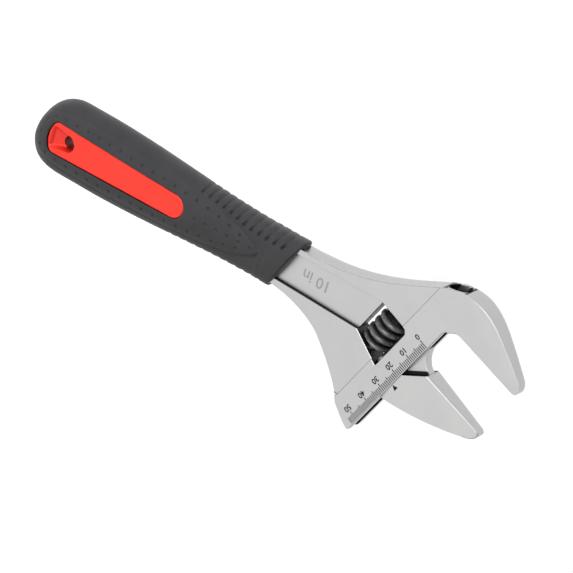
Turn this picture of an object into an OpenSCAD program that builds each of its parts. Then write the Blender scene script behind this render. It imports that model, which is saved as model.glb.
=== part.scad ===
// Adjustable wrench, 250 mm size, with a moulded two-colour grip.
//
// Frame: origin at the middle of the hang hole, +X along the handle to the
// head, +Z up through the front face, so the wrench lies flat.
// The head works in a frame of its own, turned by -jaw_angle about Z:
// "reach" runs out along the jaw faces and "slide" runs square to them,
// towards the fixed jaw. Zero slide is the zero line of the opening scale.

/* [Head] */
// Angle between the jaw faces and the handle, degrees
jaw_angle = 22.5; // [21:0.5:24]
// Thickness of the forging at the shank and outer rim
head_t = 10; // [9.8:0.1:10.4]
// Thickness of the shank where it enters the grip
shank_t = 8.4; // [8:0.1:9.4]
// Thickness over the raised slide rail and the jaw roots
rail_t = 10.6; // [10.5:0.1:11.5]
// Thickness of both jaws at their tips
tip_t = 5.2; // [4:0.2:7]

/* [Jaws] */
// Gap between the jaw faces as drawn
opening = 24.8; // [8:0.2:40]
// Slide position of the fixed jaw face
fixed_face = 15.8; // [15.6:0.1:16]
// Reach of the fixed jaw tip
fixed_reach = 42; // [40:0.2:43]
// Reach of the movable jaw tip
moving_reach = 43.2; // [42:0.2:44]

/* [Rack and slot] */
// Diameter of the round channel that the rack slides in
channel_d = 8.8; // [8.6:0.05:8.9]
// Radial clearance of the rack in its channel
rack_gap = 0.06; // [0.03:0.01:0.1]
// Width of the slot that the jaw's web runs in
slot_w = 4.8; // [4.4:0.1:5.2]
// Clearance on each side of the web in its slot
web_gap = 0.1; // [0.06:0.01:0.15]

/* [Worm] */
// Diameter over the worm's thread
worm_d = 14.6; // [14.2:0.1:14.7]
// Depth of the worm's thread
thread_depth = 1.9; // [1.8:0.05:2]
// Pitch of the worm and of the rack
pitch = 4.3; // [4.2:0.05:4.4]
// Length of the worm
worm_len = 18; // [16:0.2:18]
// Diameter of the worm's pin
pin_d = 4.4; // [4:0.1:4.6]

/* [Grip] */
// Half width of the grip at the butt
butt_w = 18.7; // [17:0.1:19]
// Half width of the grip at the neck
neck_w = 13.7; // [13:0.1:14]
// Half thickness of the grip at the butt
butt_h = 9.8; // [9.4:0.1:10.6]
// Half thickness of the grip at the neck
neck_h = 6.9; // [6.6:0.1:7.4]
// Diameter of the hang hole
hang_d = 6.5; // [5.5:0.1:7]

/* [Hidden] */

chrome = [0.80, 0.80, 0.81];
bright = [0.86, 0.86, 0.87];
oxide = [0.09, 0.09, 0.10];
spring_steel = [0.55, 0.56, 0.58];
red_plastic = [0.95, 0.20, 0.14];
black_rubber = [0.24, 0.24, 0.25];

// Where the head's own frame sits in the wrench
head_origin = [192.6, 1.2];
moving_face = fixed_face - opening;

// Slide rail and worm window, in the head's frame
rail_edge = 2.3;
rail_end = -57.7;
raised_edge = -11.8;
channel_reach = -6.2;
worm_reach = -16.4;
window_wall = -25.3;
window_rail = -8.8;
window_top = -2.6;
window_low = [-20.8, -25.4];
window_chamfer = 1.6;
worm_top = window_top - 0.3;

rack_r = channel_d / 2 - rack_gap;
rack_top = 22.5;
rack_low = -33;
web_top = 8;
block_foot = -24.6;
block_gap = 0.1;
tooth_depth = 1.7;
tooth_tip_w = 0.8;
tooth_base_w = 2.2;
lead_tilt = atan(pitch / (PI * (worm_d - thread_depth)));
rack_phase = 0.5;

pin_head_d = 6;
pin_head_len = 9;
pin_end = -46;
pin_tip = 3.2;
pin_gap = 0.05;
spring_wire = 0.7;
spring_mean_d = 6;
spring_turns = 5;
spring_bore = 7.4;
spring_depth = 6.5;

tang_end = 12;
panel_from = 88;
tang_w = 4.8;
tang_t = 6;
mouth_reach = -67;
butt_x = -19.8;
butt_len = 20;
butt_curve_w = 2.6;
butt_curve_h = 3.4;
butt_lean = 0.18;

core_h = 8.7;
core_left_x = -10.3;
core_left_w = 7.4;
core_left_r = 12.3;
core_right = [60.8, 5.5];

// Steps round a curve
curve_steps = 20;
$fn = 64;

// --- outlines ------------------------------------------------------------

// Cubic curve without its last point, so that curves can follow each other
function curve(a, b, c, d, n = curve_steps) =
    [for (i = [0 : n - 1]) let (t = i / n, s = 1 - t)
        s * s * s * a + 3 * s * s * t * b + 3 * s * t * t * c + t * t * t * d];

function arc(centre, r, from, to, n = curve_steps) =
    [for (i = [0 : n]) let (a = from + (to - from) * i / n)
        centre + r * [cos(a), sin(a)]];

// A point given in the head's frame, in the wrench's frame
function at_head(reach, slide) =
    head_origin + [reach * cos(jaw_angle) + slide * sin(jaw_angle),
                   slide * cos(jaw_angle) - reach * sin(jaw_angle)];

// Back of the head from the shank over the crown to the fixed jaw's tip
function back_edge() = concat(
    [[110, 10.4], [130, 10.6]],
    curve([140, 11.3], [156, 12.8], [170, 18.2], [182, 23.8]),
    curve([182, 23.8], [190, 27.5], [195.5, 30.8], [203, 30.8]),
    curve([203, 30.8], [211.5, 30.8], [218, 26.4], [224, 20.4]),
    curve([224, 20.4], [229, 15.4], [233, 11], at_head(fixed_reach - 2.9, fixed_face + 6)));

// Fixed jaw's rounded tip, its gripping face and the throat to the rail
function jaw_and_throat() = concat(
    curve(at_head(fixed_reach - 2.9, fixed_face + 6), at_head(fixed_reach - 0.3, fixed_face + 3.9),
          at_head(fixed_reach + 0.6, fixed_face + 1.4), at_head(fixed_reach - 0.9, fixed_face + 0.3), 8),
    [at_head(fixed_reach - 2, fixed_face)],
    curve(at_head(9.2, fixed_face), at_head(7.2, fixed_face), at_head(6.4, fixed_face - 0.6),
          at_head(5.2, fixed_face - 2), 8),
    curve(at_head(5.2, fixed_face - 2), at_head(4.2, fixed_face - 3.2),
          at_head(3, fixed_face - 3.6), at_head(rail_edge, fixed_face - 4.7), 8));

// Rail's free end and the underside of the head back to the shank
function rail_and_belly() = concat(
    [at_head(rail_edge, fixed_face - 4.7), at_head(rail_edge, rail_end + 1),
     at_head(rail_edge - 0.8, rail_end), at_head(-2.5, -56.6), at_head(-10, -53.6)],
    curve(at_head(-11.6, -52), [159, -36.5], [151, -27], [143, -20]),
    curve([143, -20], [137, -15.6], [130, -13.2], [122, -11.6]),
    [[116, -10.8], [110, -10.4]]);

function head_outline() = concat(back_edge(), jaw_and_throat(), rail_and_belly());

// Tang that the grip is moulded round
function tang_outline() = concat(
    [[112, 10.4], [96, 9.4], [72, tang_w], [tang_end + tang_w, tang_w]],
    arc([tang_end + tang_w, 0], tang_w, 90, 270),
    [[72, -tang_w], [96, -9.4], [112, -10.4]]);

// Movable jaw's block, with slide counted from its gripping face
function block_outline() = concat(
    [[10.5, 0], [moving_reach - 1.6, 0]],
    curve([moving_reach - 0.6, -0.5], [moving_reach + 0.4, -1.4],
          [moving_reach - 0.4, -4.4], [moving_reach - 2.9, -6], 8),
    curve([moving_reach - 2.9, -6], [28, -14.6], [15, -20.6], [rail_edge + block_gap, block_foot]),
    [[rail_edge + block_gap, block_foot], [rail_edge + block_gap, -9.2]]);

// Web between the block and the rack, with slide counted the same way
function web_outline(grow = 0) = concat(
    [[channel_reach, block_foot - grow], [rail_edge + 1, block_foot - grow],
     [12, -14], [12, -1]],
    curve([9.6 + grow, 0.1], [7.6 + grow, 0.3], [5.4 + grow, 2.4], [3.9 + grow, 5]),
    [[3.9 + grow, 5 + grow], [2.7 + grow, web_top + grow], [channel_reach, web_top + grow]]);

// The moulded core seen from the front: a bowed butt end and a round head end
function core_outline() =
    let (bow = asin((core_left_w - 1.6) / core_left_r),
         centre = [core_left_x + core_left_r, 0],
         corner = centre + core_left_r * [-cos(bow), sin(bow)],
         shoulder = [corner[0] + 3, core_left_w])
    concat(arc([core_right[0], 0], core_right[1], -88, 88),
           curve(shoulder, shoulder - [1.6, 0], corner + [0.9, 1.1], corner, 6),
           arc(centre, core_left_r, 180 - bow, 180 + bow),
           curve([corner[0] + 0.1, -corner[1] - 0.1], [corner[0] + 0.9, -corner[1] - 1.1],
                 [shoulder[0] - 1.6, -shoulder[1]], [shoulder[0], -shoulder[1]], 6),
           [[shoulder[0], -shoulder[1]]]);

module in_head() {
    translate([head_origin[0], head_origin[1], 0])
        rotate([0, 0, -jaw_angle])
            children();
}

// A cylinder along the slide direction, between two slide positions
module slide_rod(reach, d, from, to) {
    translate([reach, from, 0])
        rotate([-90, 0, 0])
            cylinder(d = d, h = to - from);
}

// --- frame ---------------------------------------------------------------

// Wedges that thin a jaw from its root to its tip, on both faces
module jaw_taper(root, tip, from, to) {
    for (side = [1, -1])
        translate([0, from, 0])
            rotate([-90, 0, 0])
                linear_extrude(to - from)
                    polygon([[root, side * rail_t / 2], [tip + 6, side * (tip_t / 2 - 0.4)],
                             [tip + 6, side * rail_t], [root, side * rail_t]]);
}

// Shallow panel in each face of the shank, down to a web between its flanges
module shank_panels() {
    web_at_grip = 3.6;
    web_at_window = 6.6;
    window_x = 168;
    intersection() {
        linear_extrude(2 * rail_t, center = true)
            polygon([[panel_from, -7.4], [panel_from, 7.4], at_head(window_wall, window_top),
                     at_head(window_wall + 2, window_top - 1),
                     at_head(window_wall + 2, window_low[0] + 1),
                     at_head(window_wall, window_low[0])]);
        for (side = [1, -1])
            rotate([90, 0, 0])
                linear_extrude(60, center = true)
                    polygon([[panel_from - 1, side * web_at_grip / 2],
                             [window_x + 4, side * web_at_window / 2],
                             [window_x + 4, side * rail_t], [panel_from - 1, side * rail_t]]);
    }
}

// Wedges that thin the shank from the head's thickness down to the grip
module shank_taper() {
    for (side = [1, -1])
        rotate([90, 0, 0])
            linear_extrude(80, center = true)
                polygon([[tang_end - 5, side * shank_t / 2], [112, side * shank_t / 2],
                         [170, side * head_t / 2], [170, side * rail_t],
                         [tang_end - 5, side * rail_t]]);
}

// Shank and tang, the steel that both mouldings of the grip are made round
module shank_and_tang() {
    difference() {
        union() {
            linear_extrude(head_t, center = true)
                polygon(head_outline());
            linear_extrude(tang_t, center = true)
                polygon(tang_outline());
            linear_extrude(head_t, center = true)
                polygon([[112, 10.4], [96, 9.4], [84, 7.2], [84, -7.2], [96, -9.4],
                         [112, -10.4]]);
        }
        shank_taper();
        shank_panels();
    }
}

module worm_window() {
    in_head()
        linear_extrude(2 * rail_t, center = true)
            polygon([[window_wall, window_top], [window_rail - window_chamfer, window_top],
                     [window_rail, window_top - window_chamfer],
                     [window_rail, window_low[1]], [window_wall, window_low[0]]]);
}

module frame_body() {
    color(chrome)
    difference() {
        union() {
            shank_and_tang();
            linear_extrude(rail_t, center = true)
                intersection() {
                    polygon(head_outline());
                    translate(head_origin)
                        rotate(-jaw_angle)
                            translate([raised_edge, -70])
                                square([70, 120]);
                }
        }
        worm_window();
        in_head() {
            jaw_taper(6, fixed_reach, 5, 45);
            slide_rod(channel_reach, channel_d, rail_end - 5, 45);
            // Slot that the jaw's web runs in, open along the rail's edge
            translate([channel_reach, rail_end - 5, -slot_w / 2])
                cube([rail_edge - channel_reach + 2, fixed_face + 2 - rail_end, slot_w]);
            translate([0, fixed_face, 0])
                linear_extrude(slot_w, center = true)
                    polygon(web_outline(0.4));
            // Pin hole: blind above the window, open to the belly below it
            slide_rod(worm_reach, pin_d + 2 * pin_gap, pin_end, pin_tip + 0.4);
            slide_rod(worm_reach, pin_head_d + 2 * pin_gap, -70, pin_end + pin_head_len);
        }
    }
}

// --- movable jaw ---------------------------------------------------------

// One gap between rack teeth, across the shank at the thread's lead angle
module tooth_gap() {
    gap_low = (pitch - tooth_base_w) / 2;
    gap_high = (pitch - tooth_tip_w) / 2;
    rotate([lead_tilt, 0, 0])
        linear_extrude(4 * rack_r, center = true)
            polygon([[tooth_depth, -gap_low], [tooth_depth, gap_low],
                     [-1, gap_high + 0.3], [-1, -gap_high - 0.3]]);
}

module movable_jaw() {
    first_gap = floor(rack_low / pitch) - 1;
    last_gap = ceil(rack_top / pitch);
    phase = worm_top - pitch * rack_phase - moving_face;
    shift = phase - pitch * floor(phase / pitch);
    color(bright)
    in_head()
        translate([0, moving_face, 0])
            difference() {
                union() {
                    difference() {
                        linear_extrude(rail_t, center = true)
                            polygon(block_outline());
                        jaw_taper(6, moving_reach, -40, 5);
                    }
                    linear_extrude(slot_w - 2 * web_gap, center = true)
                        polygon(web_outline());
                    slide_rod(channel_reach, 2 * rack_r, rack_low, rack_top);
                }
                for (i = [first_gap : last_gap])
                    translate([channel_reach - rack_r, i * pitch + shift, 0])
                        tooth_gap();
            }
}

// --- worm, pin and spring ------------------------------------------------

// Round-crested thread form: 0 at the root and 1 on the crest
function thread_form(turn) = 1 - pow(0.5 - 0.5 * cos(360 * turn), 1.8);

// Radius of the worm at an angle and a distance below its top face
function worm_radius(angle, down) =
    let (root = worm_d / 2 - thread_depth,
         thread = root + thread_depth * thread_form(down / pitch - angle / 360 - rack_phase),
         to_end = min(down, worm_len - down))
    min(thread, root - 0.5 + 1.4 * to_end);

module worm_blank() {
    around = 40;
    along = 46;
    points = concat(
        [for (k = [0 : along]) let (down = worm_len * k / along)
            for (i = [0 : around - 1]) let (a = 360 * i / around, r = worm_radius(a, down))
                [r * cos(a), -down, r * sin(a)]],
        [[0, 0, 0], [0, -worm_len, 0]]);
    last = around * (along + 1);
    faces = concat(
        [for (k = [0 : along - 1]) for (i = [0 : around - 1]) let (j = (i + 1) % around)
            [k * around + i, (k + 1) * around + i, k * around + j]],
        [for (k = [0 : along - 1]) for (i = [0 : around - 1]) let (j = (i + 1) % around)
            [k * around + j, (k + 1) * around + i, (k + 1) * around + j]],
        [for (i = [0 : around - 1]) [last, i, (i + 1) % around]],
        [for (i = [0 : around - 1])
            [last + 1, along * around + (i + 1) % around, along * around + i]]);
    polyhedron(points = points, faces = faces);
}

module worm() {
    color(oxide)
    in_head()
        difference() {
            translate([worm_reach, worm_top, 0])
                worm_blank();
            slide_rod(worm_reach, pin_d + 2 * pin_gap, -40, 5);
            slide_rod(worm_reach, spring_bore, -40, worm_top - worm_len + spring_depth);
        }
}

module worm_pin() {
    slot = [1.2, 1.6];
    color(spring_steel)
    in_head()
        difference() {
            union() {
                slide_rod(worm_reach, pin_d, pin_end + pin_head_len - 0.5, pin_tip);
                slide_rod(worm_reach, pin_head_d, pin_end, pin_end + pin_head_len);
            }
            translate([worm_reach, pin_end, 0])
                cube([slot[0], 2 * slot[1], pin_head_d + 2], center = true);
        }
}

// Coil spring in the worm's counterbore, which takes up the worm's end play
module worm_spring() {
    sides = 8;
    per_turn = 16;
    rings = spring_turns * per_turn;
    top = worm_top - worm_len + spring_depth - spring_wire / 2 - 0.1;
    low = window_low[0] - 1.35 + spring_wire / 2;
    centre = [for (k = [0 : rings]) let (a = 360 * k / per_turn)
        [spring_mean_d / 2 * cos(a), top + (low - top) * k / rings, spring_mean_d / 2 * sin(a)]];
    points = [for (k = [0 : rings]) let (a = 360 * k / per_turn)
        for (i = [0 : sides - 1]) let (b = 360 * i / sides, r = spring_wire / 2)
            centre[k] + r * [cos(b) * cos(a), sin(b), cos(b) * sin(a)]];
    skin = [for (k = [0 : rings - 1]) for (i = [0 : sides - 1]) let (j = (i + 1) % sides)
        each [[k * sides + i, (k + 1) * sides + i, k * sides + j],
              [k * sides + j, (k + 1) * sides + i, (k + 1) * sides + j]]];
    caps = [[for (i = [0 : sides - 1]) i],
            [for (i = [sides - 1 : -1 : 0]) rings * sides + i]];
    color(spring_steel)
    in_head()
        translate([worm_reach, 0, 0])
            polyhedron(points = points, faces = concat(skin, caps));
}

// --- grip ----------------------------------------------------------------

// Smooth step from 0 to 1
function ease(t) = let (c = min(1, max(0, t))) c * c * (3 - 2 * c);

// How far the grip's width has come from the butt's to the neck's
function down_grip(x) =
    let (t = min(1, max(0, (x - 16) / 90))) ease(t) * 0.65 + t * 0.35;

// Rounds the butt off, from 0 at its end to 1 where the grip is full
function butt_round(x, power) =
    let (t = min(1, (x - butt_x) / butt_len)) pow(max(0, 1 - pow(1 - t, power)), 1 / power);

function grip_w(x) =
    (butt_w + (neck_w - butt_w) * down_grip(x)) * butt_round(x, butt_curve_w);
function grip_h(x) =
    (butt_h + (neck_h - butt_h) * ease((x - 45) / 72)) * butt_round(x, butt_curve_h);

// Squared-off ellipse, which leans over towards the butt's end
function section(x, w, h, n) =
    let (lean = butt_lean * (1 - ease((x - butt_x) / 40)), e = 2 / 2.4)
    [for (i = [0 : n - 1]) let (a = 360 * i / n, c = cos(a), s = sin(a),
                                y = w * sign(c) * pow(abs(c), e))
        [x + lean * y, y, h * sign(s) * pow(abs(s), e)]];

module grip_solid() {
    around = 40;
    butt_rings = [for (k = [1 : 12]) butt_x + butt_len * (1 - cos(90 * k / 12))];
    body_rings = [for (k = [1 : 14]) butt_x + butt_len + k * 9];
    rings = concat(butt_rings, body_rings);
    count = len(rings);
    points = concat(
        [for (x = rings) each section(x, grip_w(x), grip_h(x), around)],
        [[butt_x, 0, 0], [rings[count - 1], 0, 0]]);
    last = around * count;
    faces = concat(
        [for (k = [0 : count - 2]) for (i = [0 : around - 1]) let (j = (i + 1) % around)
            each [[k * around + i, (k + 1) * around + i, k * around + j],
                  [k * around + j, (k + 1) * around + i, (k + 1) * around + j]]],
        [for (i = [0 : around - 1]) [last, i, (i + 1) % around]],
        [for (i = [0 : around - 1])
            [last + 1, (count - 1) * around + (i + 1) % around, (count - 1) * around + i]]);
    polyhedron(points = points, faces = faces);
}

module grip_core() {
    scoop_r = 22;
    color(red_plastic)
    difference() {
        linear_extrude(2 * core_h, center = true)
            polygon(core_outline());
        shank_and_tang();
        cylinder(d = hang_d, h = 30, center = true);
        for (side = [1, -1])
            translate([-1, 0, side * (core_h + scoop_r - 2.2)])
                sphere(r = scoop_r, $fn = 48);
    }
}

module grip_sleeve() {
    color(black_rubber)
    difference() {
        grip_solid();
        linear_extrude(30, center = true)
            polygon(core_outline());
        shank_and_tang();
        in_head()
            translate([mouth_reach, -90, -20])
                cube([60, 120, 40]);
    }
}

frame_body();
movable_jaw();
worm();
worm_pin();
worm_spring();
grip_core();
grip_sleeve();
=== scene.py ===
"""Looks for the adjustable wrench: satin chrome forging, black worm and a two-colour moulded grip.

Lengths are in metres. The wrench lies flat with its scale face up: +X runs from the hang hole to
the head. The head's own frame is turned by JAW_ANGLE: "reach" runs out along the jaw faces and
"slide" runs square to them, towards the fixed jaw, from the zero line of the opening scale.
"""

import math

import bmesh
import bpy
import numpy as np
from mathutils import Matrix, Vector


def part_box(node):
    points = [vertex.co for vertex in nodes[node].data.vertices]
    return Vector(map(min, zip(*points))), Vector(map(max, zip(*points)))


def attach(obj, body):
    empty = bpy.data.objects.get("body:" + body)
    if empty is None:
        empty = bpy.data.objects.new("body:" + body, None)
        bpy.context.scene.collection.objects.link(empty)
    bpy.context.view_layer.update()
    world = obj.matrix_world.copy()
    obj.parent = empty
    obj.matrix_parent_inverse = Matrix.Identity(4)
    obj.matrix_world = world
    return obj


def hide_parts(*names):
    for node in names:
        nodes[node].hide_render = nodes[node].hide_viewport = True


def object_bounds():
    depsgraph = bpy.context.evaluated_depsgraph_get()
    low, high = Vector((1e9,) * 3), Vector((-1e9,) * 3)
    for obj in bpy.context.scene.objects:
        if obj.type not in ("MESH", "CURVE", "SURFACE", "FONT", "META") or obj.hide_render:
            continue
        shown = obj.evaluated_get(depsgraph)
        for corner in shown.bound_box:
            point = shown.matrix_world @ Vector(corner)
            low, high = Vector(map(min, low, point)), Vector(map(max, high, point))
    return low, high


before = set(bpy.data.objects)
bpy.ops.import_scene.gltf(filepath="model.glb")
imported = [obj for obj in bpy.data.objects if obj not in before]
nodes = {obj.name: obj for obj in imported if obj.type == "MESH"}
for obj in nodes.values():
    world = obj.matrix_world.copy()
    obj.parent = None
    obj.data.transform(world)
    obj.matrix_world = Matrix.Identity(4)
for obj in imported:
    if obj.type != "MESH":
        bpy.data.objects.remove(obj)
cad_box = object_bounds()

MM = 0.001
JAW_ANGLE = math.radians(22.5)
HEAD = Vector((192.6, 1.2)) * MM
FIXED_FACE = 15.8 * MM
MOVING_FACE = FIXED_FACE - 24.8 * MM
RAIL_EDGE = 2.3 * MM
RAISED_EDGE = -11.8 * MM
RAIL_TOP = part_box("movable_jaw")[1][2]
WORM_REACH = -16.4 * MM


def at_head(reach, slide, z=0.0):
    """A point given in the head's frame, in the wrench's frame."""
    c, s = math.cos(JAW_ANGLE), math.sin(JAW_ANGLE)
    return Vector((HEAD.x + reach * c + slide * s, HEAD.y + slide * c - reach * s, z))


def in_head_frame(point):
    """(reach, slide) of a point of the wrench."""
    c, s = math.cos(JAW_ANGLE), math.sin(JAW_ANGLE)
    x, y = point.x - HEAD.x, point.y - HEAD.y
    return c * x - s * y, s * x + c * y


# --- node materials ------------------------------------------------------

class Shader:
    """Small helper that builds a node material round one Principled shader."""

    def __init__(self, name):
        self.mat = bpy.data.materials.new(name)
        self.mat.use_nodes = True
        self.tree = self.mat.node_tree
        self.bsdf = self.tree.nodes["Principled BSDF"]
        self.coords = self.node("ShaderNodeTexCoord").outputs["Object"]

    def node(self, kind, **inputs):
        n = self.tree.nodes.new(kind)
        for key, value in inputs.items():
            self.feed(n, key, value)
        return n

    def feed(self, n, key, value):
        socket = n.inputs[key.replace("_", " ")]
        if isinstance(value, bpy.types.NodeSocket):
            self.tree.links.new(value, socket)
        else:
            socket.default_value = value

    def set(self, **inputs):
        for key, value in inputs.items():
            self.feed(self.bsdf, key, value)
        return self

    def stretch(self, scale=(1, 1, 1), turn=0.0):
        n = self.node("ShaderNodeMapping", Vector=self.coords)
        n.inputs["Scale"].default_value = scale
        n.inputs["Rotation"].default_value = (0, 0, turn)
        return n.outputs["Vector"]

    def noise(self, scale, detail=4.0, rough=0.55, vector=None):
        n = self.node("ShaderNodeTexNoise", Vector=vector or self.coords, Scale=scale,
                      Detail=detail, Roughness=rough)
        return n.outputs["Fac"]

    def ramp(self, factor, stops):
        n = self.node("ShaderNodeValToRGB", Fac=factor)
        ramp = n.color_ramp
        while len(ramp.elements) < len(stops):
            ramp.elements.new(0.5)
        for element, (position, value) in zip(ramp.elements, stops):
            element.position = position
            element.color = (*value, 1) if isinstance(value, tuple) else (value, value, value, 1)
        return n.outputs["Color"]

    def remap(self, value, low, high):
        n = self.node("ShaderNodeMapRange", Value=value)
        n.inputs["To Min"].default_value = low
        n.inputs["To Max"].default_value = high
        return n.outputs["Result"]

    def mix(self, factor, a, b):
        n = self.tree.nodes.new("ShaderNodeMix")
        n.data_type = "RGBA"
        for index, value in ((0, factor), (6, a), (7, b)):
            if isinstance(value, bpy.types.NodeSocket):
                self.tree.links.new(value, n.inputs[index])
            elif index == 0:
                n.inputs[0].default_value = value
            else:
                n.inputs[index].default_value = (*value, 1)
        return n.outputs[2]

    def add(self, a, b, weight=1.0):
        n = self.tree.nodes.new("ShaderNodeMath")
        n.operation = "MULTIPLY_ADD"
        self.tree.links.new(b, n.inputs[0])
        n.inputs[1].default_value = weight
        self.tree.links.new(a, n.inputs[2])
        return n.outputs[0]

    def upright(self):
        """How squarely a surface faces along the wrench's thickness, from 0 to 1."""
        normal = self.node("ShaderNodeTexCoord").outputs["Normal"]
        split = self.node("ShaderNodeSeparateXYZ", Vector=normal)
        size = self.tree.nodes.new("ShaderNodeMath")
        size.operation = "ABSOLUTE"
        self.tree.links.new(split.outputs["Z"], size.inputs[0])
        return size.outputs[0]

    def from_worm_axis(self):
        """Distance from the worm's axis."""
        turned = self.node("ShaderNodeMapping", Vector=self.coords)
        turned.inputs["Rotation"].default_value = (0, 0, JAW_ANGLE)
        reach, _ = in_head_frame(Vector((0, 0, 0)))
        turned.inputs["Location"].default_value = (reach - WORM_REACH, 0, 0)
        flat = self.tree.nodes.new("ShaderNodeVectorMath")
        flat.operation = "MULTIPLY"
        self.tree.links.new(turned.outputs["Vector"], flat.inputs[0])
        flat.inputs[1].default_value = (1, 0, 1)
        length = self.tree.nodes.new("ShaderNodeVectorMath")
        length.operation = "LENGTH"
        self.tree.links.new(flat.outputs["Vector"], length.inputs[0])
        return length.outputs["Value"]

    def bump(self, height, strength, distance):
        n = self.node("ShaderNodeBump", Height=height, Strength=strength, Distance=distance)
        self.tree.links.new(n.outputs["Normal"], self.bsdf.inputs["Normal"])
        return self


def satin_chrome(name, tint, turn):
    """Blasted and plated steel: pearly, with a faint grain and slight mottling."""
    s = Shader(name)
    mottle = s.noise(90, 3, 0.6)
    grain = s.noise(5200, 2, 0.7)
    linish = s.noise(700, 3, 0.6, s.stretch((1, 14, 1), turn))
    # Painted shade: faces turned away from the wrench's thickness, its sides and edge rounds, are mixed
    # darker.
    facing = s.ramp(s.upright(), [(0.0, 0.42), (0.3, 0.55), (0.7, 1.0)])
    plated = s.mix(s.remap(mottle, 0.0, 1.0), tuple(0.93 * c for c in tint), tint)
    colour = s.mix(facing, tuple(0.25 * c for c in tint), plated)
    rough = s.remap(s.add(mottle, grain, 0.35), 0.27, 0.42)
    s.set(Base_Color=colour, Metallic=1.0, Roughness=rough)
    return s.bump(s.add(grain, linish, 0.5), 0.16, 0.00004).mat


def machined_recess(name):
    """Slots, bores and window walls: near-black steel as painted shade, with a fine cutter grain."""
    s = Shader(name)
    cutter = s.noise(900, 3, 0.6, s.stretch((1, 12, 1), -JAW_ANGLE))
    s.set(Base_Color=s.ramp(cutter, [(0.3, (0.018, 0.018, 0.019)), (0.75, (0.045, 0.045, 0.046))]),
          Metallic=0.9, Roughness=s.remap(cutter, 0.32, 0.5))
    return s.bump(cutter, 0.25, 0.00004).mat


def black_oxide(name, crest=0.0):
    """Oiled black finish; with a crest radius given, a thread's crests get a lighter grey as a painted
    highlight.
    """
    s = Shader(name)
    patch = s.noise(420, 5, 0.65)
    grain = s.noise(3800, 2, 0.6)
    colour = s.ramp(patch, [(0.3, (0.010, 0.010, 0.011)), (0.75, (0.030, 0.030, 0.032))])
    if crest:
        # Painted highlight: the colour lightens over the last 1.3 mm towards the crest radius.
        radius = s.node("ShaderNodeMapRange", Value=s.from_worm_axis())
        radius.inputs["From Min"].default_value = crest - 1.3 * MM
        radius.inputs["From Max"].default_value = crest
        crest_highlight = s.ramp(patch, [(0.3, (0.10, 0.10, 0.102)), (0.7, (0.30, 0.30, 0.305))])
        colour = s.mix(radius.outputs["Result"], colour, crest_highlight)
    s.set(Base_Color=colour, Metallic=0.75, Roughness=s.remap(patch, 0.24, 0.40))
    return s.bump(grain, 0.3, 0.00005).mat


def plain_steel(name, turn):
    """Turned steel, grey with fine rings."""
    s = Shader(name)
    rings = s.noise(900, 3, 0.6, s.stretch((1, 9, 1), turn))
    mottle = s.noise(260, 3)
    s.set(Base_Color=s.ramp(mottle, [(0.2, (0.42, 0.42, 0.43)), (0.8, (0.56, 0.56, 0.57))]),
          Metallic=1.0, Roughness=s.remap(rings, 0.25, 0.45))
    return s.bump(rings, 0.2, 0.00005).mat


def red_moulding(name):
    """Satin red plastic with a fine spark-eroded grain."""
    s = Shader(name)
    grain = s.noise(3000, 2, 0.6)
    flow = s.noise(60, 3)
    face = s.ramp(flow, [(0.25, (0.86, 0.021, 0.008)), (0.8, (0.92, 0.029, 0.011))])
    # Painted shade: faces that tilt away from the wrench's thickness, such as the scoop's slopes and the hang
    # hole's walls, are mixed towards a dark red.
    shade = s.ramp(s.upright(), [(0.15, 0.0), (0.85, 1.0)])
    s.set(Base_Color=s.mix(shade, (0.20, 0.008, 0.005), face),
          Roughness=s.remap(grain, 0.34, 0.46), Coat_Weight=0.12, Coat_Roughness=0.3,
          Subsurface_Weight=0.0)
    return s.bump(grain, 0.12, 0.00003).mat


def grip_rubber(name):
    """Charcoal rubber, matt, with a fine leathery moulding grain and dusty high spots."""
    s = Shader(name)
    grain = s.noise(2600, 3, 0.65)
    cloud = s.noise(120, 4, 0.6)
    colour = s.ramp(cloud, [(0.25, (0.023, 0.023, 0.025)), (0.8, (0.032, 0.032, 0.034))])
    s.set(Base_Color=colour, Roughness=s.remap(grain, 0.50, 0.66), Specular_IOR_Level=0.42,
          Sheen_Weight=0.08, Sheen_Roughness=0.5)
    return s.bump(grain, 0.35, 0.00006).mat


def dark_mark(name):
    """Laser-marked lines: dark, dull and slightly uneven. The same near-black also serves as painted shadow
    on the grip's window walls.
    """
    s = Shader(name)
    speck = s.noise(3500, 2, 0.6)
    s.set(Base_Color=s.ramp(speck, [(0.3, (0.004, 0.004, 0.004)), (0.8, (0.012, 0.012, 0.012))]),
          Metallic=0.0, Specular_IOR_Level=0.15, Roughness=s.remap(speck, 0.5, 0.75))
    return s.bump(speck, 0.2, 0.00002).mat


# --- mesh helpers --------------------------------------------------------

def finish_piece(obj, body, replaced=(), sharp=40):
    """Shades a piece smooth, rides it on its body and hides the CAD nodes it stands for."""
    obj.data.shade_smooth()
    obj.data.set_sharp_from_angle(angle=math.radians(sharp))
    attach(obj, body)
    if replaced:
        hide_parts(*replaced)
    return obj


def new_object(name, points, faces, material=None):
    mesh = bpy.data.meshes.new(name)
    mesh.from_pydata([tuple(p) for p in points], [], faces)
    mesh.validate()
    mesh.update()
    obj = bpy.data.objects.new(name, mesh)
    bpy.context.scene.collection.objects.link(obj)
    if material:
        mesh.materials.append(material)
    return obj


def grid_faces(rows, columns, wrap_rows=False):
    """Quads of a grid whose columns close on themselves."""
    faces = []
    for k in range(rows if wrap_rows else rows - 1):
        for i in range(columns):
            j, n = (i + 1) % columns, (k + 1) % rows
            faces.append((k * columns + i, k * columns + j, n * columns + j, n * columns + i))
    return faces


def baked(obj):
    """Applies an object's modifiers to its mesh."""
    graph = bpy.context.evaluated_depsgraph_get()
    mesh = bpy.data.meshes.new_from_object(obj.evaluated_get(graph), depsgraph=graph)
    obj.modifiers.clear()
    obj.data = mesh
    return obj


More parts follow.
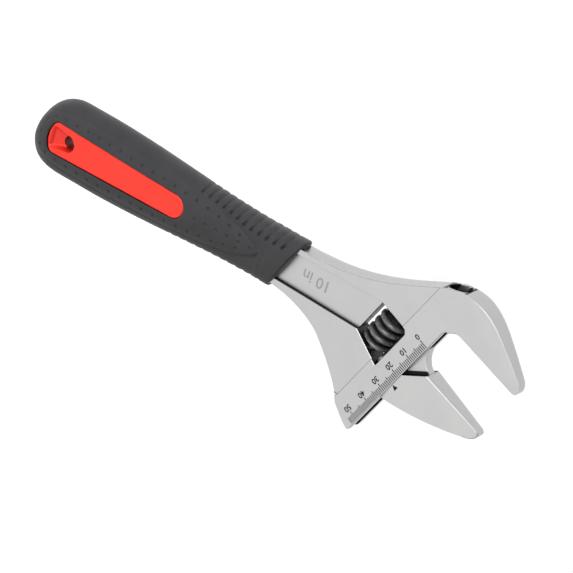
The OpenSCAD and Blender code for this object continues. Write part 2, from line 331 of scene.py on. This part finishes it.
def cut(obj, cutters, operation="DIFFERENCE"):
    """Booleans an object with cutters, which are then deleted."""
    for cutter in cutters:
        modifier = obj.modifiers.new("cut", "BOOLEAN")
        modifier.operation = operation
        modifier.solver = "MANIFOLD"
        modifier.object = cutter
        baked(obj)
        bpy.data.objects.remove(cutter)
    return obj


def outward(obj):
    """Turns every face of a closed mesh outward and merges doubled points."""
    work = bmesh.new()
    work.from_mesh(obj.data)
    bmesh.ops.remove_doubles(work, verts=work.verts, dist=1e-6)
    bmesh.ops.recalc_face_normals(work, faces=work.faces)
    work.to_mesh(obj.data)
    work.free()
    return obj


def cad_copy(node, name, material=None):
    """A copy of a CAD node's mesh, with its flat faces joined up again."""
    obj = bpy.data.objects.new(name, nodes[node].data.copy())
    obj.matrix_world = nodes[node].matrix_world.copy()
    bpy.context.scene.collection.objects.link(obj)
    obj.data.materials.clear()
    if material:
        obj.data.materials.append(material)
    work = bmesh.new()
    work.from_mesh(obj.data)
    bmesh.ops.remove_doubles(work, verts=work.verts, dist=2e-6)
    bmesh.ops.dissolve_limit(work, angle_limit=math.radians(0.6), verts=work.verts,
                             edges=work.edges)
    work.to_mesh(obj.data)
    work.free()
    return obj


def round_edges(obj, width, chosen, least_angle=28, segments=3):
    """Rounds sharp enough edges by chosen(middle point) times the width."""
    mesh = obj.data
    work = bmesh.new()
    work.from_mesh(mesh)
    layer = work.edges.layers.float.new("bevel_weight_edge")
    for edge in work.edges:
        turn = edge.calc_face_angle(0.0)
        middle = (edge.verts[0].co + edge.verts[1].co) / 2
        if turn > math.radians(least_angle):
            edge[layer] = float(chosen(middle))
    work.to_mesh(mesh)
    work.free()
    modifier = obj.modifiers.new("round", "BEVEL")
    modifier.width = width
    modifier.segments = segments
    modifier.limit_method = "WEIGHT"
    modifier.use_clamp_overlap = False
    modifier.harden_normals = False
    modifier.miter_outer = "MITER_ARC"
    return baked(obj)


def weighted(obj):
    """Keeps the flat faces flat in the shading."""
    modifier = obj.modifiers.new("normals", "WEIGHTED_NORMAL")
    modifier.keep_sharp = True
    modifier.weight = 60
    return obj


# --- forging and movable jaw ---------------------------------------------

chrome = satin_chrome("forged_chrome", (0.76, 0.76, 0.76), 0.0)
recess_shade = machined_recess("machined_recess")
jaw_chrome = satin_chrome("jaw_chrome", (0.78, 0.78, 0.775), -JAW_ANGLE)


def body_edge(point):
    """Edges of the forging's outside, its window and its panels, but not of its bores."""
    if point.x < 100 * MM or (abs(point.z) < 3.0 * MM and not by_panel(point)):
        return 0.0
    return 0.5 if by_panel(point) or abs(in_head_frame(point)[0] - RAISED_EDGE) < 0.05 * MM else 1.0


def by_panel(point):
    """The walls of the shallow panels in the shank's faces."""
    return point.x < 172 * MM and abs(point.y) < 9.3 * MM


def in_recess(point, normal):
    """Walls of the worm window, the slot, the rack's channel and the shank's panels, which get painted shade.
    """
    reach, slide = in_head_frame(point)
    if abs(normal.z) > 0.5 and abs(point.z) > 4 * MM:
        return False
    in_window = -25.6 * MM < reach < -8.5 * MM and -26.5 * MM < slide < -2.3 * MM
    in_channel = math.hypot(reach + 6.2 * MM, point.z) < 4.8 * MM
    in_slot = abs(point.z) < 2.6 * MM and reach > -6.2 * MM and slide < 14 * MM
    in_panel = by_panel(point) and abs(normal.z) < 0.97
    return in_window or in_channel or in_slot or in_panel


def build_frame():
    body = cad_copy("frame_body", "forged_frame", chrome)
    body.data.materials.append(recess_shade)
    round_edges(body, 0.45 * MM, body_edge)
    # Painted shade: these walls take the near-black second material.
    for face in body.data.polygons:
        if in_recess(face.center, face.normal):
            face.material_index = 1
    finish_piece(body, "frame", ["frame_body"], 32)
    return weighted(body)


def by_jaw_step(point):
    """The step from the jaw's block down to its web, in the throat."""
    reach, slide = in_head_frame(point)
    behind = slide - MOVING_FACE
    return 2.2 * MM < reach < 10 * MM and -9.6 * MM < behind < -0.1 * MM


def shade_step_foot(jaw):
    """Splits the web's faces along the foot of the step, so the narrow strip there can take painted shade."""
    step = (at_head(10.5 * MM, MOVING_FACE) - at_head(2.4 * MM, MOVING_FACE - 9.2 * MM)).normalized()
    out = Vector((-step.y, step.x, 0))
    work = bmesh.new()
    work.from_mesh(jaw.data)
    web = [f for f in work.faces if abs(f.normal.z) > 0.9 and 2 * MM < abs(f.calc_center_median().z) < 3 * MM]
    geometry = web + list({e for f in web for e in f.edges}) + list({v for f in web for v in f.verts})
    foot = at_head(10.5 * MM, MOVING_FACE) + out * 1.5 * MM
    bmesh.ops.bisect_plane(work, geom=geometry, plane_co=foot, plane_no=out)
    for face in work.faces:
        middle = face.calc_center_median()
        on_web = abs(face.normal.z) > 0.9 and 2 * MM < abs(middle.z) < 3 * MM
        if on_web and (middle - foot).dot(out) < 0:
            face.material_index = 1
    work.to_mesh(jaw.data)
    work.free()


def jaw_edge(point):
    reach, slide = in_head_frame(point)
    return abs(point.z) > 1.5 * MM and reach > RAIL_EDGE + 0.3 * MM and not by_jaw_step(point)


def build_jaw():
    jaw = cad_copy("movable_jaw", "sliding_jaw", jaw_chrome)
    jaw.data.materials.append(recess_shade)
    round_edges(jaw, 0.35 * MM, jaw_edge)
    # Painted shade: the walls of the jaw's step take the near-black second material.
    for face in jaw.data.polygons:
        if by_jaw_step(face.center) and abs(face.normal.z) < 0.5:
            face.material_index = 1
    shade_step_foot(jaw)
    finish_piece(jaw, "jaw", ["movable_jaw"], 32)
    return weighted(jaw)


# --- worm, pin and spring ------------------------------------------------

oxide = black_oxide("black_oxide", 7.3 * MM)
steel = plain_steel("pin_steel", -JAW_ANGLE)
spring_steel = black_oxide("spring_wire")

PITCH = 4.3 * MM
THREAD_DEPTH = 1.9 * MM
WORM_ROOT = 5.4 * MM
WORM_LEN = 18 * MM
WORM_TOP = -2.9 * MM
PIN_BORE = 2.25 * MM
SPRING_BORE = 3.7 * MM
SPRING_DEPTH = 6.5 * MM


def worm_radius(angle, down):
    """Radius of the thread at an angle and a distance below the worm's top face."""
    turn = down / PITCH - angle / (2 * math.pi) - 0.5
    form = 1 - (0.5 - 0.5 * np.cos(2 * math.pi * turn)) ** 1.8
    to_end = np.minimum(down, WORM_LEN - down)
    return np.minimum(WORM_ROOT + THREAD_DEPTH * form, WORM_ROOT - 0.5 * MM + 1.4 * to_end)


def worm_point(radius, angle, down):
    place = at_head(WORM_REACH + radius * math.cos(angle), WORM_TOP - down)
    return (place.x, place.y, radius * math.sin(angle))


def build_worm():
    around, along = 144, 168
    angles = [2 * math.pi * i / around for i in range(around)]
    floor = WORM_LEN - SPRING_DEPTH
    inside = [(PIN_BORE, floor), (PIN_BORE, 0.5 * floor), (PIN_BORE, 0.3 * MM),
              (PIN_BORE + 0.3 * MM, 0.0)]
    outside = [(SPRING_BORE + 0.3 * MM, WORM_LEN), (SPRING_BORE, WORM_LEN - 0.3 * MM),
               (SPRING_BORE, floor + 0.5 * SPRING_DEPTH), (SPRING_BORE, floor)]
    points = [worm_point(r, a, d) for r, d in inside for a in angles]
    for k in range(along + 1):
        down = WORM_LEN * k / along
        radii = worm_radius(np.array(angles), down)
        points += [worm_point(r, a, down) for r, a in zip(radii, angles)]
    points += [worm_point(r, a, d) for r, d in outside for a in angles]
    rows = len(points) // around
    worm = new_object("worm_screw", points, grid_faces(rows, around, True), oxide)
    return finish_piece(outward(worm), "worm", ["worm"], 50)


def build_pin():
    pin = cad_copy("worm_pin", "screw_pin", steel)
    round_edges(pin, 0.25 * MM, lambda point: True, 50, 2)
    finish_piece(pin, "frame", ["worm_pin"], 35)
    return weighted(pin)


def build_spring():
    """Coil spring in the worm's counterbore, a little shorter than the CAD's."""
    wire, mean_r, turns, per_turn, sides = 0.34 * MM, 3 * MM, 5, 36, 12
    first = WORM_TOP - WORM_LEN + SPRING_DEPTH - 0.45 * MM
    span = 6.93 * MM
    rings = turns * per_turn + 1
    points = []
    for k in range(rings):
        a = 2 * math.pi * k / per_turn
        slide = first - span * k / (turns * per_turn)
        for i in range(sides):
            b = 2 * math.pi * i / sides
            r = mean_r + wire * math.cos(b)
            place = at_head(WORM_REACH + r * math.cos(a), slide + wire * math.sin(b))
            points.append((place.x, place.y, r * math.sin(a)))
    faces = grid_faces(rings, sides)
    faces.append(tuple(range(sides)))
    faces.append(tuple((rings - 1) * sides + i for i in reversed(range(sides))))
    spring = new_object("end_play_spring", points, faces, spring_steel)
    return finish_piece(outward(spring), "frame", ["worm_spring"], 60)


# --- grip ----------------------------------------------------------------

red = red_moulding("red_core")
rubber = grip_rubber("grip_rubber")

BUTT_X = -19.8 * MM
BUTT_LEN = 20 * MM
BUTT_LEAN = 0.18
MOUTH_X = 119.6 * MM
MOUTH_SLANT = math.tan(JAW_ANGLE)
CORE_TOP = 8.5 * MM
HANG_R = 3.25 * MM


def ease(t):
    t = np.clip(t, 0, 1)
    return t * t * (3 - 2 * t)


def butt_round(x, power=2.6):
    t = np.clip((x - BUTT_X) / BUTT_LEN, 0, 1)
    return (1 - (1 - t) ** power) ** (1 / power)


def grip_w(x):
    t = np.clip((x - 16 * MM) / (90 * MM), 0, 1)
    down = ease(t) * 0.65 + t * 0.35
    return (18.7 * MM + (13.7 - 18.7) * MM * down) * butt_round(x)


def grip_h(x):
    return (9.8 * MM + (6.9 - 9.8) * MM * ease((x - 45 * MM) / (72 * MM))) * butt_round(x, 3.4)


def leaf_w(x):
    """Half width of the leaf-shaped front panel."""
    t = np.clip((x - 12 * MM) / (94.5 * MM), 0, 1)
    swell = 0.9 * MM * np.exp(-((x - 15 * MM) / (18 * MM)) ** 2)
    return (12.6 * MM * (1 - t ** 3) ** 0.588 + swell * (1 - t)) * butt_round(x) ** 0.8


def grip_height(x, y):
    """Height of the grip's skin: a crowned leaf panel, then flanks that roll over to the parting line."""
    w, h, leaf = grip_w(x), grip_h(x), leaf_w(x)
    share = np.clip(leaf / np.maximum(0.72 * w, 1e-9), 0, 1)
    edge = h * (1 - np.clip(leaf / np.maximum(w, 1e-9), 0, 1) ** 2.4) ** (1 / 2.4) * (1 - 0.17 * share)
    inside = h - (h - edge) * np.clip(np.abs(y) / np.maximum(leaf, 1e-9), 0, 1) ** 2.5
    t = np.clip((np.abs(y) - leaf) / np.maximum(w - leaf, 1e-9), 0, 1)
    power = 2.4 - 1.25 * share
    outside = edge * (1 - t ** power) ** (1 / (2.4 - 0.4 * share))
    return np.where(np.abs(y) < leaf, inside, outside)


def core_outline(grow=0.0):
    """Outline of the red core: a bowed butt end and a round head end."""
    left_x, half, left_r = -10.3 * MM, 7.4 * MM, 12.3 * MM
    head_x, head_r = 60.8 * MM, 5.5 * MM
    bow = math.asin((half - 1.6 * MM) / left_r)
    corner = (left_x + left_r - left_r * math.cos(bow), left_r * math.sin(bow))
    shoulder = (corner[0] + 3 * MM, half)
    upper = [(head_x + head_r * math.cos(a), head_r * math.sin(a))
             for a in np.linspace(0, math.radians(88), 20)]
    handles = [shoulder, (shoulder[0] - 1.6 * MM, half),
               (corner[0] + 0.9 * MM, corner[1] + 1.1 * MM), corner]
    for t in np.linspace(0, 1, 8):
        weights = ((1 - t) ** 3, 3 * t * (1 - t) ** 2, 3 * t * t * (1 - t), t ** 3)
        upper.append(tuple(sum(w * p[i] for w, p in zip(weights, handles)) for i in (0, 1)))
    upper += [(left_x + left_r - left_r * math.cos(a), left_r * math.sin(a))
              for a in np.linspace(bow, 0, 10)[1:]]
    outline = upper + [(x, -y) for x, y in reversed(upper[1:-1])]
    if not grow:
        return outline
    grown = []
    for i, (x, y) in enumerate(outline):
        before, after = outline[i - 1], outline[(i + 1) % len(outline)]
        along = Vector((after[0] - before[0], after[1] - before[1])).normalized()
        grown.append((x + grow * along.y, y - grow * along.x))
    return grown


def outline_distance(x, y, outline):
    """Signed distance of points from an outline, positive outside."""
    best = np.full(x.shape, 1.0)
    inside = np.zeros(x.shape, bool)
    for (ax, ay), (bx, by) in zip(outline, outline[1:] + outline[:1]):
        length = (bx - ax) ** 2 + (by - ay) ** 2
        t = np.clip(((x - ax) * (bx - ax) + (y - ay) * (by - ay)) / length, 0, 1)
        best = np.minimum(best, np.hypot(x - ax - t * (bx - ax), y - ay - t * (by - ay)))
        if ay != by:
            inside ^= ((ay > y) != (by > y)) & (x < ax + (y - ay) * (bx - ax) / (by - ay))
    return np.where(inside, -best, best)


def prism(name, outline, low, high):
    n = len(outline)
    points = [(x, y, z) for z in (low, high) for x, y in outline]
    faces = [(i, (i + 1) % n, n + (i + 1) % n, n + i) for i in range(n)]
    faces += [tuple(reversed(range(n))), tuple(range(n, 2 * n))]
    return outward(new_object(name, points, faces))


def tube_cutter(name, r, half_height, sides=64):
    ring = [(r * math.cos(2 * math.pi * i / sides), r * math.sin(2 * math.pi * i / sides))
            for i in range(sides)]
    return prism(name, ring, -half_height, half_height)


def dimple_places():
    """Rows of dimples just inside the leaf's edge, round the butt and down its middle."""
    places = [(-14.4 * MM, 0.0), (-13.2 * MM, 6.2 * MM), (-13.2 * MM, -6.2 * MM)]
    for k in range(18):
        x = (-9.6 + 6.2 * k) * MM
        y = float(leaf_w(np.array(x))) - 3.0 * MM
        if y > 1.5 * MM:
            places += [(x, min(y, 10.6 * MM)), (x, -min(y, 10.6 * MM))]
    places += [((73.0 + 5.8 * k) * MM, 0.0) for k in range(6)]
    return places


def rib_depth(x, y):
    """Finger ribs across both flanks at the head end, parallel to the slanted mouth."""
    pitch, first, count = 4.28 * MM, 66.3 * MM, 12
    row = (x - MOUTH_SLANT * y - first) / pitch
    away = row - np.clip(np.round(row), 0, count - 1)
    groove = np.clip(1 - np.abs(away) / 0.24, 0, 1) ** 0.8 * np.where(y > 0, 1.0, 0.6)
    start = np.maximum(leaf_w(x) + 0.1 * MM, np.where(y > 0, 6.3 * MM, grip_w(x) - 2.2 * MM))
    beyond = np.abs(y) - start
    along = beyond / np.maximum(grip_w(x) - start, 1e-6)
    return groove * (1.5 - 1.3 * np.clip(along, 0, 1)) * MM * ease(beyond / (1.2 * MM))


def build_sleeve():
    around = 264
    step = 0.42 * MM
    lip = 1.1 * MM
    butt = [BUTT_X + BUTT_LEN * (1 - math.cos(math.pi / 2 * k / 44)) for k in range(1, 45)]
    start = butt[-1]
    count = int((MOUTH_X - lip - start) / step)
    body = [start + (MOUTH_X - lip - start) * k / count for k in range(1, count + 1)]
    end = [(MOUTH_X - lip + lip * math.sin(a), lip * (1 - math.cos(a)))
           for a in np.linspace(0, math.pi / 2, 7)[1:]]
    xs = np.array(butt + body + [x for x, _ in end])[:, None]
    inset = np.array([0.0] * (len(butt) + len(body)) + [i for _, i in end])[:, None]
    angles = np.linspace(0, 2 * math.pi, around, endpoint=False)[None, :]
    c, s = np.cos(angles), np.sin(angles)
    power = 2 / 2.4
    across = np.sign(c) * np.abs(c) ** power
    slant = MOUTH_SLANT * ease((xs - 96 * MM) / (MOUTH_X - 96 * MM))
    lean = BUTT_LEAN * (1 - ease((xs - BUTT_X) / (40 * MM)))
    x = xs + slant * across * grip_w(xs)
    y = across * grip_w(x)
    z = np.sign(s) * grip_height(x, y)
    x = x + lean * y
    points = np.stack([x, y, z], axis=-1)
    tangent_x = np.gradient(points, axis=0)
    tangent_a = (np.roll(points, -1, axis=1) - np.roll(points, 1, axis=1)) / 2
    normal = np.cross(tangent_a, tangent_x)
    normal /= np.maximum(np.linalg.norm(normal, axis=2, keepdims=True), 1e-12)
    normal *= np.where(normal[..., 1:2] * points[..., 1:2] + normal[..., 2:3] * points[..., 2:3] < 0,
                       -1.0, 1.0)
    top = np.abs(s) > 0.02
    leaf = leaf_w(x)
    slope = np.gradient(leaf, axis=0) / np.maximum(np.gradient(x, axis=0), 1e-9)
    into = (leaf - np.abs(y)) / np.sqrt(1 + slope ** 2)
    tip = ease((x - 55 * MM) / (45 * MM))
    relief = (0.36 + 0.20 * tip) * MM * (ease(into / (0.55 * MM)) - 1) * np.exp(
        -np.maximum(-into, 0) / (3.5 * MM)) * (x < 110 * MM) * ease((x + 10 * MM) / (14 * MM))
    relief -= rib_depth(x, y)
    for px, py in dimple_places():
        away = np.hypot(x - px, y - py) / (0.75 * MM)
        relief -= 0.75 * MM * np.clip(1 - away ** 2, 0, 1) ** 0.7 * top
    roll = 0.7 * MM
    near = np.clip(outline_distance(x, y, core_outline(0.2 * MM)) / roll, 0, 1)
    relief -= roll * (1 - np.sqrt(1 - (1 - near) ** 2)) * top * (near < 1) * 0.8
    points = points + normal * (relief - inset)[..., None]
    rows = points.shape[0]
    flat = [tuple(p) for p in points.reshape(-1, 3)]
    flat += [(BUTT_X, 0.0, 0.0), tuple(points[-1].mean(axis=0))]
    faces = grid_faces(rows, around)
    last = (rows - 1) * around
    faces += [(rows * around, (i + 1) % around, i) for i in range(around)]
    faces += [(rows * around + 1, last + i, last + (i + 1) % around) for i in range(around)]
    sleeve = outward(new_object("grip_moulding", flat, faces, rubber))
    window = prism("window", core_outline(0.2 * MM), -20 * MM, 20 * MM)
    tang = outward(cad_copy("frame_body", "tang"))
    cut(sleeve, [window, tang])
    sleeve.data.materials.clear()
    sleeve.data.materials.append(rubber)
    sleeve.data.materials.append(dark_mark("window_shadow"))
    # Painted shadow: steep faces along the red core's outline take the near-black second material.
    middles = np.array([face.center[:2] for face in sleeve.data.polygons])
    gaps = outline_distance(middles[:, 0], middles[:, 1], core_outline(0.2 * MM))
    for face, gap in zip(sleeve.data.polygons, gaps):
        face.material_index = int(abs(face.normal.z) < 0.35 and abs(gap) < 0.1 * MM)
    return finish_piece(sleeve, "frame", ["grip_sleeve"], 40)


def scoop_depth(x, y):
    """Thumb ramp from the core's butt end down to the hang hole."""
    t = np.clip((x + 9.4 * MM) / (9.4 * MM), 0, 1)
    half = 6.0 * MM + (4.3 - 6.0) * MM * t
    half = np.where(x > 0, np.sqrt(np.maximum((4.3 * MM) ** 2 - x ** 2, 0)), half)
    depth = (0.6 + 4.0 * t) * MM
    inside = ease((half - np.abs(y)) / (2.0 * MM)) * ease((x + 9.8 * MM) / (2.4 * MM))
    return depth * inside


def build_core():
    step = 0.3 * MM
    xs = np.arange(-11.2 * MM, 67.2 * MM, step)
    ys = np.arange(-8.1 * MM, 8.1 * MM, step)
    x, y = np.meshgrid(xs, ys, indexing="ij")
    outline = core_outline()
    roll = 0.5 * MM
    near = np.clip(-outline_distance(x, y, outline) / roll, 0, 1)
    top = CORE_TOP + 0.12 * MM * (1 - (y / (7.5 * MM)) ** 2)
    top = top - roll * (1 - np.sqrt(1 - (1 - near) ** 2)) - scoop_depth(x, y)
    rows, columns = x.shape
    points = [p for z in (top, -top) for p in np.stack([x, y, z], axis=-1).reshape(-1, 3)]
    base = rows * columns
    faces = []
    for k in range(rows - 1):
        for i in range(columns - 1):
            quad = (k * columns + i, (k + 1) * columns + i, (k + 1) * columns + i + 1, k * columns + i + 1)
            faces += [quad, tuple(base + q for q in reversed(quad))]
    rim = [(k, 0) for k in range(rows)] + [(rows - 1, i) for i in range(1, columns)]
    rim += [(k, columns - 1) for k in range(rows - 2, -1, -1)] + [(0, i) for i in range(columns - 2, 0, -1)]
    ring = [k * columns + i for k, i in rim]
    faces += [(a, a + base, b + base, b) for a, b in zip(ring, ring[1:] + ring[:1])]
    core = outward(new_object("red_inlay", points, faces, red))
    cut(core, [prism("core_shape", outline, -20 * MM, 20 * MM)], "INTERSECT")
    cut(core, [tube_cutter("hang_hole", HANG_R, 20 * MM), outward(cad_copy("frame_body", "tang"))])
    return finish_piece(core, "frame", ["grip_core"], 40)


# --- marks ---------------------------------------------------------------

mark = dark_mark("laser_mark")
MARK_RISE = 0.03 * MM


def bar(reach_from, reach_to, slide, width, top):
    """Corner points of one thin raised line of the scale."""
    corners = [at_head(r, s) for r, s in ((reach_from, slide - width / 2), (reach_to, slide - width / 2),
                                          (reach_to, slide + width / 2), (reach_from, slide + width / 2))]
    return [(p.x, p.y, z) for z in (top - 0.1 * MM, top + MARK_RISE) for p in corners]


def build_scale():
    points, faces = [], []
    for n in range(54):
        low = -2.3 if n % 10 == 0 else (-1.9 if n % 5 == 0 else -1.1)
        base = len(points)
        points += bar(low * MM, 1.8 * MM, -n * MM, 0.40 * MM, RAIL_TOP)
        faces += [tuple(base + i for i in face) for face in
                  ((3, 2, 1, 0), (4, 5, 6, 7), (0, 1, 5, 4), (1, 2, 6, 5), (2, 3, 7, 6), (3, 0, 4, 7))]
    ticks = new_object("scale_ticks", points, faces, mark)
    return finish_piece(ticks, "frame", (), 30)


def lettering(name, text, place, turn, size, body, top, weight=0.07 * MM, slope=0.0, material=None):
    """A short generic marking, as a thin raised mesh."""
    curve = bpy.data.curves.new(name, "FONT")
    curve.body = text
    curve.size = size
    curve.align_x = "CENTER"
    curve.align_y = "CENTER"
    curve.extrude = 0.05 * MM
    curve.offset = weight
    curve.resolution_u = 4
    writing = bpy.data.objects.new(name, curve)
    bpy.context.scene.collection.objects.link(writing)
    graph = bpy.context.evaluated_depsgraph_get()
    mesh = bpy.data.meshes.new_from_object(writing.evaluated_get(graph))
    bpy.data.objects.remove(writing)
    mesh.transform(Matrix.Translation((place[0], place[1], top + MARK_RISE - 0.05 * MM))
                   @ Matrix.Rotation(-slope, 4, "Y") @ Matrix.Rotation(turn, 4, "Z"))
    mesh.materials.clear()
    mesh.materials.append(material or mark)
    obj = bpy.data.objects.new(name, mesh)
    bpy.context.scene.collection.objects.link(obj)
    return finish_piece(outward(obj), body, (), 30)


PANEL_SLOPE = (3.3 - 1.8) / (172 - 87)


def panel_height(x):
    """Height of the panel's floor in the shank's face."""
    return 1.8 * MM + PANEL_SLOPE * (x - 87 * MM)


def build_marks():
    build_scale()
    for n in range(0, 60, 10):
        place = at_head(-4.3 * MM, -n * MM)
        lettering(f"scale_number_{n}", str(n), place, -math.pi / 2 - JAW_ANGLE, 3.6 * MM,
                  "frame", RAIL_TOP)
    stamp = satin_chrome("stamped_chrome", (0.50, 0.50, 0.50), 0.0)
    lettering("size_stamp", "10 in", Vector((135 * MM, 0.6 * MM)), math.pi, 7.4 * MM, "frame",
              panel_height(135 * MM) + 0.05 * MM, 0.02 * MM, PANEL_SLOPE, stamp)
    tip, base, half = 2.5 * MM, 5.0 * MM, 1.15 * MM
    slide = MOVING_FACE - FIXED_FACE
    corners = [at_head(tip, slide), at_head(base, slide - half), at_head(base, slide + half)]
    points = [(p.x, p.y, z) for z in (RAIL_TOP - 0.1 * MM, RAIL_TOP + MARK_RISE) for p in corners]
    faces = [(2, 1, 0), (3, 4, 5), (0, 1, 4, 3), (1, 2, 5, 4), (2, 0, 3, 5)]
    pointer = outward(new_object("scale_pointer", points, faces, mark))
    finish_piece(pointer, "jaw", (), 30)


build_frame()
build_jaw()
build_worm()
build_pin()
build_spring()
build_core()
build_sleeve()
build_marks()


# --- floor, light and camera ---------------------------------------------

def build_floor():
    half = 3.0
    z = cad_box[0][2] - 0.1
    floor = new_object("floor", [(-half, -half, z), (half, -half, z), (half, half, z), (-half, half, z)],
                       [(0, 1, 2, 3)])
    s = Shader("pale_floor")
    cloud = s.noise(6, 2)
    s.set(Base_Color=s.ramp(cloud, [(0.0, (0.95, 0.95, 0.95)), (1.0, (0.97, 0.97, 0.97))]), Roughness=0.9)
    floor.data.materials.append(s.mat)


def softbox(name, place, size, watts, mirrored=True):
    light = bpy.data.lights.new(name, "AREA")
    light.shape = "RECTANGLE"
    light.size, light.size_y = size
    light.energy = watts
    lamp = bpy.data.objects.new(name, light)
    lamp.location = place
    lamp.rotation_euler = (Vector((0.12, 0, 0)) - Vector(place)).to_track_quat("-Z", "Y").to_euler()
    lamp.visible_glossy = mirrored
    bpy.context.scene.collection.objects.link(lamp)


def build_world():
    world = bpy.data.worlds.new("studio")
    bpy.context.scene.world = world
    world.use_nodes = True
    tree = world.node_tree
    coords = tree.nodes.new("ShaderNodeTexCoord")
    facing = tree.nodes.new("ShaderNodeVectorMath")
    facing.operation = "DOT_PRODUCT"
    facing.inputs[1].default_value = Vector((-0.40, -0.42, 0.81)).normalized()
    ramp = tree.nodes.new("ShaderNodeValToRGB")
    tree.links.new(coords.outputs["Generated"], facing.inputs[0])
    tree.links.new(facing.outputs["Value"], ramp.inputs["Fac"])
    ramp.color_ramp.interpolation = "EASE"
    ramp.color_ramp.elements[0].position = 0.35
    ramp.color_ramp.elements[0].color = (0.36, 0.365, 0.37, 1)
    ramp.color_ramp.elements[1].position = 0.93
    ramp.color_ramp.elements[1].color = (1, 1, 1, 1)
    background = tree.nodes["Background"]
    tree.links.new(ramp.outputs["Color"], background.inputs["Color"])
    background.inputs["Strength"].default_value = 0.76


def build_camera():
    data = bpy.data.cameras.new("camera")
    data.lens = 175.94
    data.sensor_width = 36
    data.clip_start, data.clip_end = 0.05, 20
    camera = bpy.data.objects.new("camera", data)
    target = Vector((0.12112, -0.01042, 0.0))
    distance, rise, heading, roll = 1.2022, math.radians(54.29), math.radians(46.59), math.radians(-112.20)
    back = Vector((math.cos(rise) * math.cos(heading), math.cos(rise) * math.sin(heading), math.sin(rise)))
    level = Vector((0, 0, 1)).cross(back).normalized()
    upright = back.cross(level)
    right = level * math.cos(roll) + upright * math.sin(roll)
    up = back.cross(right)
    pose = Matrix((right, up, back)).transposed().to_4x4()
    pose.translation = target + back * distance
    camera.matrix_world = pose
    bpy.context.scene.collection.objects.link(camera)
    bpy.context.scene.camera = camera


build_floor()
build_world()
softbox("key", (-0.7, 1.15, 0.62), (1.0, 1.0), 31, False)
softbox("top", (0.40, 0.38, 1.5), (1.0, 1.0), 10)
build_camera()
bpy.context.scene.view_settings.view_transform = "Standard"
